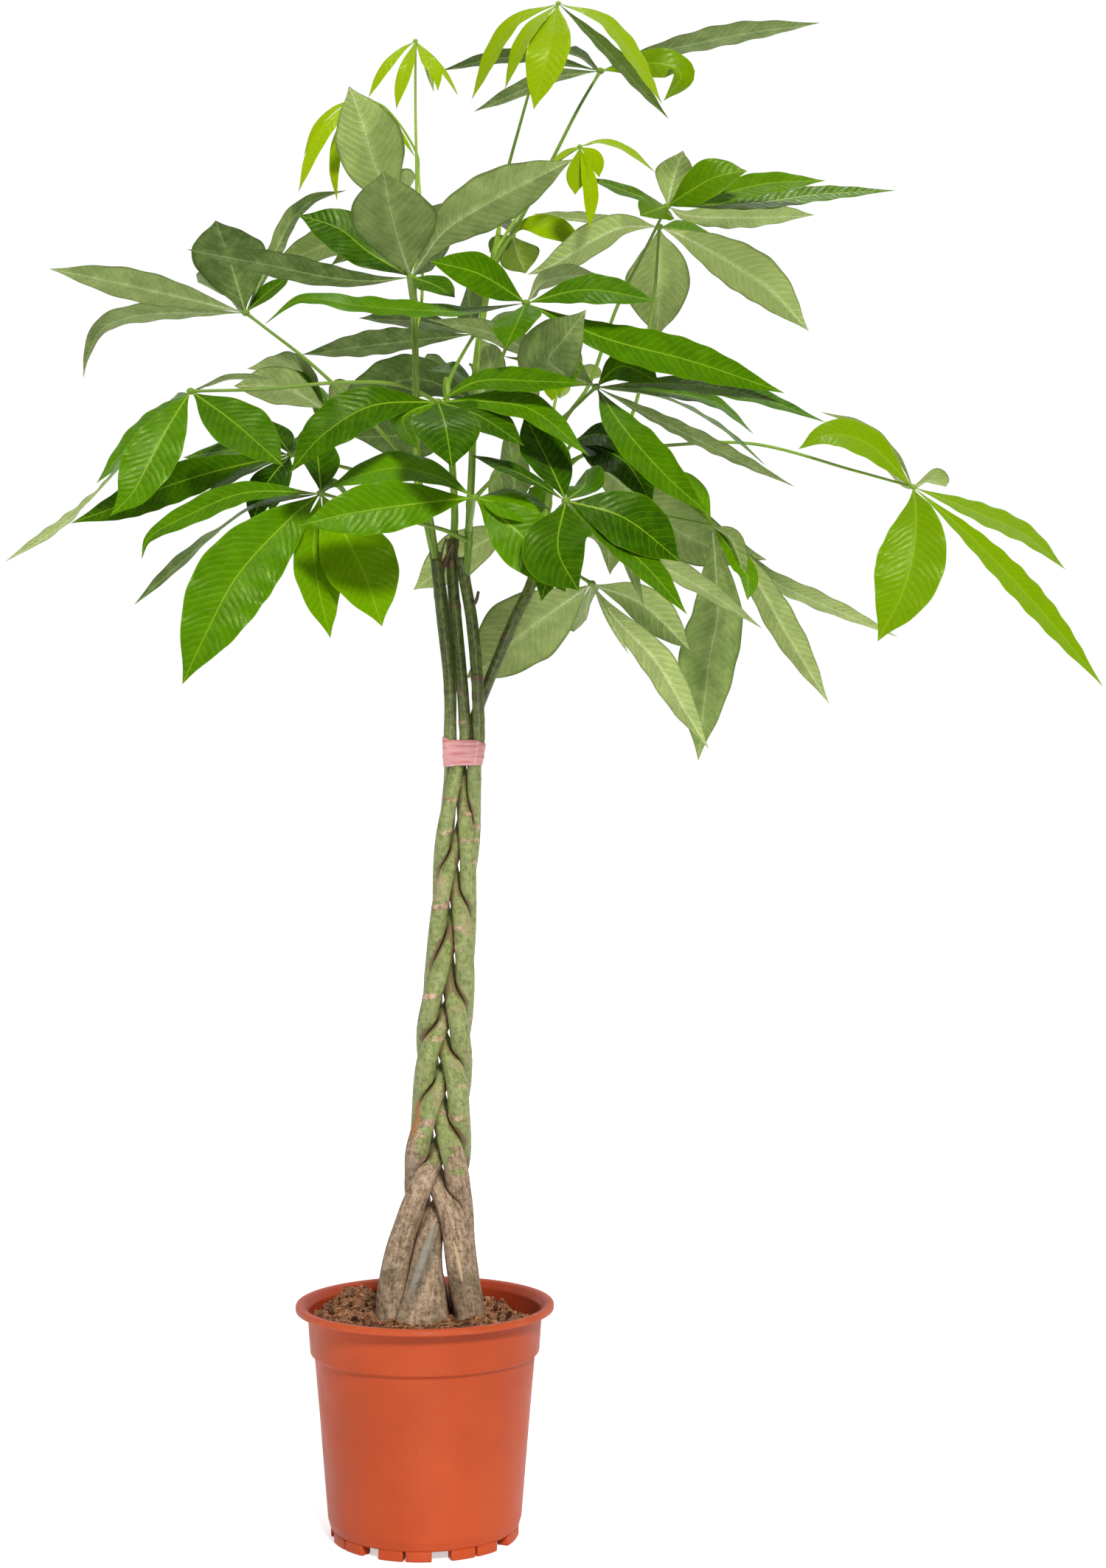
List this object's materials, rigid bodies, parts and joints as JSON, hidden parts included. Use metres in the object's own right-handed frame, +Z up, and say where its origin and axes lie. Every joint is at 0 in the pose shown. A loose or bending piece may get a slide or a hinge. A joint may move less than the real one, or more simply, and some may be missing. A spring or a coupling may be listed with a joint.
{
  "type": "potted money tree",
  "caption": "Money tree with a braided trunk, a tie below its crown of palmate leaves on long stalks, standing in soil in a round ribbed-foot plastic nursery pot",
  "frame": {"origin": "middle of the pot's underside, on the surface that the pot stands on", "axes": "+X is to the right as seen from the front, +Y runs from the front to the back, and +Z is up"},
  "size_m": [1.0189, 0.4416, 1.4223],
  "materials": {
    "pot_plastic": "satin injection-moulded plastic, terracotta red",
    "soil": "crumbly brown potting soil with fibres",
    "bark": "smooth green young bark turning grey brown towards the foot",
    "tie_tape": "translucent pink plastic tape, wound in layers",
    "leaf": "glossy green upper faces with pale ribs, matt grey-green undersides"
  },
  "bodies": {
    "root": {"pot": "pot_plastic", "soil": "soil", "stem_1": "bark", "stem_2": "bark", "stem_3": "bark", "stem_4": "bark", "stem_5": "bark", "tie": "tie_tape", "leaf_01": "leaf", "leaf_02": "leaf", "leaf_03": "leaf", "leaf_04": "leaf", "leaf_05": "leaf", "leaf_06": "leaf", "leaf_07": "leaf", "leaf_08": "leaf", "leaf_09": "leaf", "leaf_10": "leaf", "leaf_11": "leaf", "leaf_12": "leaf", "leaf_13": "leaf", "leaf_14": "leaf", "leaf_15": "leaf", "leaf_16": "leaf", "leaf_17": "leaf", "leaf_18": "leaf", "leaf_19": "leaf", "leaf_20": "leaf", "leaf_21": "leaf", "leaf_22": "leaf", "leaf_23": "leaf", "leaf_24": "leaf", "leaf_25": "leaf", "leaf_26": "leaf", "leaf_27": "leaf", "leaf_28": "leaf"}
  },
  "joints": []
}
